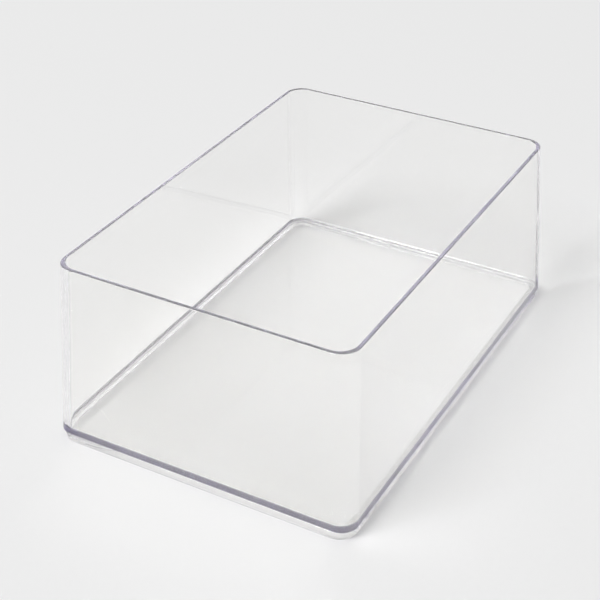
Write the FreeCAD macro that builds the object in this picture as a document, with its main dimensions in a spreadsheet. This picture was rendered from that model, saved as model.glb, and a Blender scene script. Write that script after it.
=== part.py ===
"""A clear drawer organizer tray: a drafted wall loop on a flat floor plate, over a stacking foot. Millimetres.

The origin is at the centre of the footprint, on the surface that the tray stands on.
+Z points up, +Y along the long sides and +X along the short ends.
"""

import FreeCAD, Part
import os
from math import pi
import Sketcher

SIZES = {
    "rim_length": 228.6,
    "rim_width": 153.4,
    "overall_height": 78.7,
    "wall_thickness": 1.75,
    "floor_thickness": 1.8,
    "draft_angle": 1.0,
    "rim_corner_radius": 9.4,
    "inner_corner_radius": 9.2,
    "rim_round": 0.45,
    "floor_edge_round": 0.15,
    "foot_height": 3.8,
    "foot_inset": 0.8,
    "foot_width": 1.0,
    "foot_top_width": 3.0,
    "foot_corner_radius": 9.0,
    "foot_round": 0.15,
}

# Heights above the surface that the tray stands on
GROUND = "0 mm"
FLOOR_UNDERSIDE = "(sizes.foot_height * 1 mm)"
FLOOR_TOP = "((sizes.foot_height + sizes.floor_thickness) * 1 mm)"
RIM_TOP = "(sizes.overall_height * 1 mm)"

# A curve's start, its end and its centre, as a sketch numbers them
START, END, CENTRE = 1, 2, 3
ORIGIN = (-1, 1)

# Millimetres within which an edge counts as lying at a height
SAME_HEIGHT = 1e-4

doc = FreeCAD.newDocument("drawer_tray")


def make_sheet():
    """Writes the driving dimensions, each in its own named cell."""
    sheet = doc.addObject("Spreadsheet::Sheet", "sizes")
    for row, (name, value) in enumerate(SIZES.items(), start=1):
        sheet.set(f"A{row}", name)
        sheet.set(f"B{row}", str(value))
        sheet.setAlias(f"B{row}", name)
    doc.recompute()
    return sheet


def outline_at(height, inset="0", rim_radius="sizes.rim_corner_radius"):
    """Length, width and corner radius at a height of a drafted face, set in from the outer one all round."""
    lean = f"({RIM_TOP} - {height}) * tan(sizes.draft_angle)"
    length = f"(sizes.rim_length * 1 mm - 2 * ({lean} + {inset} * 1 mm))"
    width = f"(sizes.rim_width * 1 mm - 2 * ({lean} + {inset} * 1 mm))"
    radius = f"({rim_radius} * 1 mm - {lean})"
    return length, width, radius


def new_body(name):
    """A body whose label names its piece."""
    body = doc.addObject("PartDesign::Body", name)
    body.Label = name
    return body


def sketch_at(body, name, height, outlines):
    """A level sketch of rounded rectangles at a height; each outline's constraints take its own name."""
    sketch = body.newObject("Sketcher::SketchObject", name)
    plane = next(item for item in body.Origin.OriginFeatures if item.Role == "XY_Plane")
    sketch.AttachmentSupport = [(plane, "")]
    sketch.MapMode = "FlatFace"
    sketch.setExpression("AttachmentOffset.Base.z", height)
    for label, outline in outlines.items():
        length, width, radius = (sketch.evalExpression(size).Value for size in outline)
        first = draw_rounded_loop(sketch, width / 2, length / 2, radius)
        constrain_rounded_loop(sketch, first, label)
        for size, expression in zip(("length", "width", "radius"), outline):
            sketch.setExpression(f"Constraints.{label}_{size}", expression)
    return sketch


def draw_rounded_loop(sketch, half_x, half_y, corner):
    """Four sides and four corner arcs, anticlockwise from the front side, and the first one's number."""
    first = sketch.GeometryCount
    x_mid = half_x - corner
    y_mid = half_y - corner
    sides = (
        ((-x_mid, -half_y), (x_mid, -half_y)),
        ((half_x, -y_mid), (half_x, y_mid)),
        ((x_mid, half_y), (-x_mid, half_y)),
        ((-half_x, y_mid), (-half_x, -y_mid)),
    )
    for start, end in sides:
        sketch.addGeometry(Part.LineSegment(FreeCAD.Vector(*start, 0), FreeCAD.Vector(*end, 0)), False)
    centres = ((x_mid, -y_mid), (x_mid, y_mid), (-x_mid, y_mid), (-x_mid, -y_mid))
    for turn, centre in enumerate(centres):
        circle = Part.Circle(FreeCAD.Vector(*centre, 0), FreeCAD.Vector(0, 0, 1), corner)
        sketch.addGeometry(Part.ArcOfCircle(circle, (turn - 1) * pi / 2, turn * pi / 2), False)
    return first


def constrain_rounded_loop(sketch, first, label):
    """Tangent corners of one radius and level sides, centred on the origin, with three named sizes."""
    sides = range(first, first + 4)
    arcs = range(first + 4, first + 8)
    front, right, back, left = sides

    def constrain(*rule):
        return sketch.addConstraint(Sketcher.Constraint(*rule))

    for number, arc in enumerate(arcs):
        constrain("Tangent", sides[number], END, arc, START)
        constrain("Tangent", arc, END, sides[(number + 1) % 4], START)
    for level, upright in ((front, right), (back, left)):
        constrain("Horizontal", level)
        constrain("Vertical", upright)
    for arc in arcs[1:]:
        constrain("Equal", arcs[0], arc)
    constrain("Symmetric", arcs[0], CENTRE, arcs[2], CENTRE, *ORIGIN)
    width = sketch.getPoint(right, START).x - sketch.getPoint(left, START).x
    length = sketch.getPoint(back, START).y - sketch.getPoint(front, START).y
    radius = sketch.Geometry[arcs[0]].Radius
    named = {
        "width": ("DistanceX", left, START, right, START, width),
        "length": ("DistanceY", front, START, back, START, length),
        "radius": ("Radius", arcs[0], radius),
    }
    for size, rule in named.items():
        sketch.renameConstraint(constrain(*rule), f"{label}_{size}")


def extrude(body, kind, name, sketch, length, taper="0", downward=False):
    """A pad or a pocket from a sketch, up or down, which widens as it goes where it has a taper."""
    feature = body.newObject(f"PartDesign::{kind}", name)
    feature.Profile = sketch
    feature.setExpression("Length", length)
    feature.setExpression("TaperAngle", taper)
    feature.Reversed = downward if kind == "Pad" else not downward
    doc.recompute()
    return feature


def round_edges_at(body, name, feature, height, radius):
    """Rounds every edge of a feature that lies level at a height."""
    level = feature.evalExpression(height).Value
    edges = []
    for number, edge in enumerate(feature.Shape.Edges, start=1):
        box = edge.BoundBox
        if abs(box.ZMin - level) < SAME_HEIGHT and abs(box.ZMax - level) < SAME_HEIGHT:
            edges.append(f"Edge{number}")
    fillet = body.newObject("PartDesign::Fillet", name)
    fillet.Base = (feature, edges)
    fillet.setExpression("Radius", radius)
    doc.recompute()
    return fillet


def make_wall_shell():
    """Four walls in one loop, wider at the rim than at the base, with a rounded rim."""
    body = new_body("wall_shell")
    height = f"{RIM_TOP} - {FLOOR_TOP}"
    outside = sketch_at(body, "wall_outside", FLOOR_TOP, {"outside": outline_at(FLOOR_TOP)})
    extrude(body, "Pad", "wall_block", outside, height, "sizes.draft_angle")
    inside = outline_at(FLOOR_TOP, "sizes.wall_thickness", "sizes.inner_corner_radius")
    hollow = sketch_at(body, "wall_inside", FLOOR_TOP, {"inside": inside})
    opened = extrude(body, "Pocket", "wall_hollow", hollow, height, "sizes.draft_angle")
    round_edges_at(body, "rim_rounding", opened, RIM_TOP, "min(sizes.rim_round; 0.45 * sizes.wall_thickness)")


def make_floor_plate():
    """The flat floor under the walls, its edge in line with their outer faces."""
    body = new_body("floor_plate")
    outline = sketch_at(body, "floor_outline", FLOOR_UNDERSIDE, {"floor": outline_at(FLOOR_UNDERSIDE)})
    plate = extrude(body, "Pad", "floor_slab", outline, "sizes.floor_thickness", "sizes.draft_angle")
    rounding = "min(sizes.floor_edge_round; 0.45 * sizes.floor_thickness)"
    round_edges_at(body, "floor_edge", plate, FLOOR_UNDERSIDE, rounding)


def make_stacking_foot():
    """The ring that the tray stands on, wider at its top, set in so that it drops inside the rim of a tray below."""
    body = new_body("stacking_foot")
    *size, _ = outline_at(FLOOR_UNDERSIDE, "sizes.foot_inset")
    outline = (*size, "sizes.foot_corner_radius * 1 mm")
    outside = sketch_at(body, "foot_outside", FLOOR_UNDERSIDE, {"outside": outline})
    extrude(body, "Pad", "foot_block", outside, "sizes.foot_height", downward=True)
    *size, _ = outline_at(FLOOR_UNDERSIDE, "(sizes.foot_inset + sizes.foot_top_width)")
    outline = (*size, "(sizes.foot_corner_radius - sizes.foot_top_width) * 1 mm")
    inside = sketch_at(body, "foot_inside", FLOOR_UNDERSIDE, {"inside": outline})
    slope = "atan((sizes.foot_top_width - sizes.foot_width) / sizes.foot_height)"
    foot = extrude(body, "Pocket", "foot_hollow", inside, "sizes.foot_height", slope, downward=True)
    round_edges_at(body, "foot_rounding", foot, GROUND, "min(sizes.foot_round; 0.4 * sizes.foot_width)")


def check_model():
    """Stops where a feature failed or a piece is empty or broken."""
    for item in doc.Objects:
        if {"Invalid", "Error"} & set(item.State):
            raise RuntimeError(f"{item.Name} failed: {item.State}")
    for body in pieces():
        if body.Shape.isNull() or not body.Shape.isValid():
            raise RuntimeError(f"{body.Label} has no valid solid")


def pieces():
    return [item for item in doc.Objects if item.TypeId == "PartDesign::Body"]


make_sheet()
make_wall_shell()
make_floor_plate()
make_stacking_foot()
doc.recompute()
check_model()
os.makedirs("parts", exist_ok=True)
for piece in pieces():
    piece.Shape.exportStep(f"parts/{piece.Label}.step")
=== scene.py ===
"""A clear drawer organizer tray on a pale studio floor. Metres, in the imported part's own frame."""
import math

import bpy
from mathutils import Matrix, Vector

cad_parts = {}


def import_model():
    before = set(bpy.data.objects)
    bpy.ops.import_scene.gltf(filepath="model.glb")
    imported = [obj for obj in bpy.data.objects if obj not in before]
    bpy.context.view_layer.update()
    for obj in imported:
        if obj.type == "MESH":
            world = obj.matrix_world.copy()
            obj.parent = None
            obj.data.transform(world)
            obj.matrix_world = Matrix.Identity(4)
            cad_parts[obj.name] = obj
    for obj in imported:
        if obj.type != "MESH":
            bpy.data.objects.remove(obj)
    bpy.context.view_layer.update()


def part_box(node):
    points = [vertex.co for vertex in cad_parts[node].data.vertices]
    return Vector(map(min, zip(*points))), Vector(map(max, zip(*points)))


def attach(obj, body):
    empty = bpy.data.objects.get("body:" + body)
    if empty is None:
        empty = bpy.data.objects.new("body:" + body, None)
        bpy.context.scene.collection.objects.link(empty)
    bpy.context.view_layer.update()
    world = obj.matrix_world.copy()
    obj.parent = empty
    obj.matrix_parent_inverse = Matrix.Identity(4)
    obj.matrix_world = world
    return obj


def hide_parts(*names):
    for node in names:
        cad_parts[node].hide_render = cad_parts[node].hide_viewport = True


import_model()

_, RIM_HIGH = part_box("wall_shell")
PLATE_LOW, PLATE_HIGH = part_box("floor_plate")
_, FOOT_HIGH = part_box("stacking_foot")

# Sizes that the frame's boxes don't give
WALL_THICKNESS = 0.00175
DRAFT = math.radians(1.0)
RIM_CORNER_RADIUS = 0.0094
INNER_CORNER_RADIUS = 0.0092
RIM_ROUND_INSIDE = 0.0002
RIM_ROUND_OUTSIDE = 0.00045
EDGE_ROUND = 0.00015
INNER_ROUND = 0.001
FOOT_WIDTH = 0.001
FOOT_TOP_WIDTH = 0.0045
FOOT_CORNER_RADIUS = 0.009
FOOT_ROUND = 0.0005

# The air between the foot's top and the floor plate, so that the plate's edge keeps its even dark band
FOOT_GAP = 0.0003

# How far the inside floor lies below the floor plate's top, so that its fillet doesn't thicken the band
SINK = 0.0004

# How finely the curves are divided, and the least angle of an edge that stays sharp
CORNER_STEPS = 24
ROUNDING_STEPS = 5
SHARP_FROM = math.radians(40)

# The camera: the photograph's verticals are parallel, so its axis is level and its frame looks down
AZIMUTH = math.radians(28.86)
CAMERA_X = 0.37873
CAMERA_Y = -0.70582
CAMERA_ABOVE_FLOOR_PLATE = 0.45953
FOCAL_PIXELS = 1615.1
HORIZON_ROW = -576.7
FRAME_PIXELS = 600
SENSOR_WIDTH = 36

# The world's strengths for lighting, for what reflections and clear pieces show, and as the backdrop
WORLD_LEVEL = 0.60
WORLD_SEEN = 0.725
BACKDROP_LEVEL = 0.82

# The key light, whose azimuth turns from the front towards the left
KEY_AZIMUTH = math.radians(22)
KEY_HEIGHT = math.radians(47)
KEY_DISTANCE = 18.0
KEY_SIZE = 7.2
KEY_POWER = 1840

# The most bounces that light may take on its way through the clear plastic
BOUNCES = 96

# The studio floor, from its centre to its sides
FLOOR_REACH = 6.0
FLOOR_COLOR = (0.83, 0.83, 0.83, 1)
FLOOR_ROUGHNESS = 0.9

# The plastic, which is clear but for a small share of scattered light that brightens the dark band
REFRACTION = 1.49
CLEARNESS = 0.98
ABSORB_COLOR = (0.12, 0.0, 0.50, 1)
ABSORB_DENSITY = 5.0
PALE = (1, 1, 0.99, 1)
DEEPER = (0.993, 0.993, 0.981, 1)
TONE_RANGE = (0.35, 0.6)
FLOW_SCALE = 16.0
FLOW_DETAIL = 2
WAVE_DEPTH = 0.00002
SCUFF_SCALE = 650.0
SCUFF_DETAIL = 3
SCUFF_DEPTH = 0.000001
SCUFF_RANGE = (0.55, 0.85)
SCUFF_ROUGHNESS = 0.02


def lean(z):
    """How far the drafted outer face stands inside the rim's outline at a height."""
    return (RIM_HIGH[2] - z) * math.tan(DRAFT)


def rounded_loop(inset, z, radius):
    """Points round the tray, anticlockwise, at an inset from the rim's outline."""
    half_x = RIM_HIGH[0] - inset
    half_y = RIM_HIGH[1] - inset
    points = []
    for corner, (side_x, side_y) in enumerate(((1, -1), (1, 1), (-1, 1), (-1, -1))):
        centre_x = side_x * (half_x - radius)
        centre_y = side_y * (half_y - radius)
        for step in range(CORNER_STEPS + 1):
            angle = (corner - 1 + step / CORNER_STEPS) * math.pi / 2
            points.append((centre_x + radius * math.cos(angle), centre_y + radius * math.sin(angle), z))
    return points


def quarter_round(inset, z, radius, start, turn=1):
    """Profile points of a quarter circle about (inset, z), from a starting angle in quarter turns."""
    points = []
    for step in range(ROUNDING_STEPS + 1):
        angle = (start + turn * step / ROUNDING_STEPS) * math.pi / 2
        points.append((inset + radius * math.cos(angle), z + radius * math.sin(angle)))
    return points


def swept_mesh(name, profile, closed):
    """Sweeps (inset, height, corner radius) points round the tray, into a ring or between two flat faces."""
    loops = [rounded_loop(*point) for point in profile]
    count = len(loops[0])
    rings = len(loops)
    faces = []
    for ring in range(rings if closed else rings - 1):
        low = ring * count
        high = (ring + 1) % rings * count
        for k in range(count):
            after = (k + 1) % count
            faces.append((low + k, high + k, high + after, low + after))
    if not closed:
        faces.append(tuple(range(count)))
        faces.append(tuple((rings - 1) * count + k for k in reversed(range(count))))
    mesh = bpy.data.meshes.new(name)
    mesh.from_pydata([point for loop in loops for point in loop], [], faces)
    mesh.validate()
    mesh.shade_smooth()
    mesh.set_sharp_from_angle(angle=SHARP_FROM)
    piece = bpy.data.objects.new(name, mesh)
    bpy.context.scene.collection.objects.link(piece)
    weighted = piece.modifiers.new("even_normals", "WEIGHTED_NORMAL")
    weighted.keep_sharp = True
    return piece


def tray_profile():
    """From the floor's upper face up inside the wall, over the rim and down outside to its lower face."""
    top = PLATE_HIGH[2] - SINK
    under = PLATE_LOW[2]
    rim = RIM_HIGH[2]
    inside = quarter_round(lean(top) + WALL_THICKNESS + INNER_ROUND, top + INNER_ROUND, INNER_ROUND, 3, -1)
    inside += quarter_round(WALL_THICKNESS - RIM_ROUND_INSIDE, rim - RIM_ROUND_INSIDE, RIM_ROUND_INSIDE, 0)
    outside = quarter_round(RIM_ROUND_OUTSIDE, rim - RIM_ROUND_OUTSIDE, RIM_ROUND_OUTSIDE, 1)
    outside += quarter_round(lean(under) + EDGE_ROUND, under + EDGE_ROUND, EDGE_ROUND, 2)
    profile = [(inset, z, INNER_CORNER_RADIUS + WALL_THICKNESS - inset) for inset, z in inside]
    profile += [(inset, z, RIM_CORNER_RADIUS - inset) for inset, z in outside]
    return profile


def foot_profile():
    """The foot's cross-section, from its outer lower edge under, up inside and back over the top."""
    outer = RIM_HIGH[0] - FOOT_HIGH[0]
    inner = outer + FOOT_WIDTH
    top = FOOT_HIGH[2] - FOOT_GAP
    points = quarter_round(outer + FOOT_ROUND, FOOT_ROUND, FOOT_ROUND, 2)
    points += quarter_round(inner - FOOT_ROUND, FOOT_ROUND, FOOT_ROUND, 3)
    points += [(outer + FOOT_TOP_WIDTH, top), (outer, top)]
    return [(inset, z, FOOT_CORNER_RADIUS + outer - inset) for inset, z in points]


def noise(nodes, links, coordinates, scale, detail):
    """Noise over the object's own coordinates."""
    texture = nodes.new("ShaderNodeTexNoise")
    texture.inputs["Scale"].default_value = scale
    texture.inputs["Detail"].default_value = detail
    links.new(coordinates, texture.inputs["Vector"])
    return texture.outputs["Fac"]


def clear_plastic():
    """Clear polished plastic with a violet cast in its depth, slow moulding waves and very fine scuffs."""
    material = bpy.data.materials.new("clear_plastic")
    material.use_nodes = True
    nodes, links = material.node_tree.nodes, material.node_tree.links
    shader = nodes["Principled BSDF"]
    shader.inputs["IOR"].default_value = REFRACTION
    shader.inputs["Transmission Weight"].default_value = CLEARNESS
    coordinates = nodes.new("ShaderNodeTexCoord").outputs["Object"]
    flow = noise(nodes, links, coordinates, FLOW_SCALE, FLOW_DETAIL)
    scuffs = noise(nodes, links, coordinates, SCUFF_SCALE, SCUFF_DETAIL)

    tone = nodes.new("ShaderNodeValToRGB")
    for stop, place, color in zip(tone.color_ramp.elements, TONE_RANGE, (DEEPER, PALE)):
        stop.position = place
        stop.color = color
    links.new(flow, tone.inputs["Fac"])
    links.new(tone.outputs["Color"], shader.inputs["Base Color"])

    polish = nodes.new("ShaderNodeMapRange")
    polish.inputs["From Min"].default_value = SCUFF_RANGE[0]
    polish.inputs["From Max"].default_value = SCUFF_RANGE[1]
    polish.inputs["To Max"].default_value = SCUFF_ROUGHNESS
    links.new(scuffs, polish.inputs["Value"])
    links.new(polish.outputs["Result"], shader.inputs["Roughness"])

    normal = None
    for height, depth in ((flow, WAVE_DEPTH), (scuffs, SCUFF_DEPTH)):
        bump = nodes.new("ShaderNodeBump")
        bump.inputs["Distance"].default_value = depth
        links.new(height, bump.inputs["Height"])
        if normal:
            links.new(normal, bump.inputs["Normal"])
        normal = bump.outputs["Normal"]
    links.new(normal, shader.inputs["Normal"])

    volume = nodes.new("ShaderNodeVolumeAbsorption")
    volume.inputs["Color"].default_value = ABSORB_COLOR
    volume.inputs["Density"].default_value = ABSORB_DENSITY
    links.new(volume.outputs[0], nodes["Material Output"].inputs["Volume"])
    return material


def floor():
    """A plain pale floor, wide enough to fill every view."""
    sides = ((-1, -1), (1, -1), (1, 1), (-1, 1))
    corners = [(x * FLOOR_REACH, y * FLOOR_REACH, 0) for x, y in sides]
    mesh = bpy.data.meshes.new("studio_floor")
    mesh.from_pydata(corners, [], [(0, 1, 2, 3)])
    ground = bpy.data.objects.new("studio_floor", mesh)
    bpy.context.scene.collection.objects.link(ground)
    material = bpy.data.materials.new("studio_floor")
    material.use_nodes = True
    shader = material.node_tree.nodes["Principled BSDF"]
    shader.inputs["Base Color"].default_value = FLOOR_COLOR
    shader.inputs["Roughness"].default_value = FLOOR_ROUGHNESS
    shader.inputs["Specular IOR Level"].default_value = 0.0
    ground.data.materials.append(material)


def key_light():
    """One large square lamp, far away, that looks at the frame's origin."""
    way = Vector((-math.sin(KEY_AZIMUTH), -math.cos(KEY_AZIMUTH), math.tan(KEY_HEIGHT))).normalized()
    place = way * KEY_DISTANCE
    data = bpy.data.lights.new("key", "AREA")
    data.shape = "SQUARE"
    data.size = KEY_SIZE
    data.energy = KEY_POWER
    lamp = bpy.data.objects.new("key", data)
    lamp.location = place
    lamp.rotation_mode = "QUATERNION"
    lamp.rotation_quaternion = (-place).to_track_quat("-Z", "Y")
    bpy.context.scene.collection.objects.link(lamp)


def world(lighting, seen, backdrop):
    """An even sky whose strength depends on the kind of ray that meets it."""
    studio = bpy.data.worlds.new("studio")
    bpy.context.scene.world = studio
    studio.use_nodes = True
    nodes, links = studio.node_tree.nodes, studio.node_tree.links
    background = nodes["Background"]
    background.inputs["Color"].default_value = (1, 1, 1, 1)
    path = nodes.new("ShaderNodeLightPath")
    strength = None
    for ray, level in (("Is Glossy Ray", seen), ("Is Transmission Ray", seen), ("Is Camera Ray", backdrop)):
        choice = nodes.new("ShaderNodeMapRange")
        choice.inputs["To Min"].default_value = lighting
        choice.inputs["To Max"].default_value = level
        links.new(path.outputs[ray], choice.inputs["Value"])
        if strength:
            links.new(strength, choice.inputs["To Min"])
        strength = choice.outputs["Result"]
    links.new(strength, background.inputs["Strength"])


def camera():
    """The photograph's camera: a level axis and parallel verticals, in a frame that looks down."""
    forward = Vector((-math.sin(AZIMUTH), math.cos(AZIMUTH), 0))
    right = Vector((math.cos(AZIMUTH), math.sin(AZIMUTH), 0))
    up = Vector((0, 0, 1))
    centre = forward + up * (HORIZON_ROW - FRAME_PIXELS / 2) / FOCAL_PIXELS
    place = Vector((CAMERA_X, CAMERA_Y, CAMERA_ABOVE_FLOOR_PLATE + PLATE_LOW[2]))
    columns = [right, up, -centre.normalized(), place]
    matrix = Matrix.Identity(4)
    for number, column in enumerate(columns):
        for row in range(3):
            matrix[row][number] = column[row]
    data = bpy.data.cameras.new("camera")
    data.sensor_width = SENSOR_WIDTH
    data.lens = FOCAL_PIXELS * centre.length / FRAME_PIXELS * SENSOR_WIDTH
    lens = bpy.data.objects.new("camera", data)
    stand = bpy.data.objects.new("camera_stand", None)
    bpy.context.scene.collection.objects.link(stand)
    bpy.context.scene.collection.objects.link(lens)
    lens.parent = stand
    lens.matrix_parent_inverse = matrix
    bpy.context.scene.camera = lens


plastic = clear_plastic()
tray = swept_mesh("clear_tray", tray_profile(), closed=False)
foot = swept_mesh("foot_ring", foot_profile(), closed=True)
for piece in (tray, foot):
    piece.data.materials.append(plastic)
    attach(piece, "root")
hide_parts("wall_shell", "floor_plate")
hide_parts("stacking_foot")
floor()
world(WORLD_LEVEL, WORLD_SEEN, BACKDROP_LEVEL)
key_light()
camera()
scene = bpy.context.scene
scene.view_settings.view_transform = "Standard"
scene.cycles.blur_glossy = 0
scene.cycles.max_bounces = BOUNCES
scene.cycles.glossy_bounces = BOUNCES
scene.cycles.transmission_bounces = BOUNCES
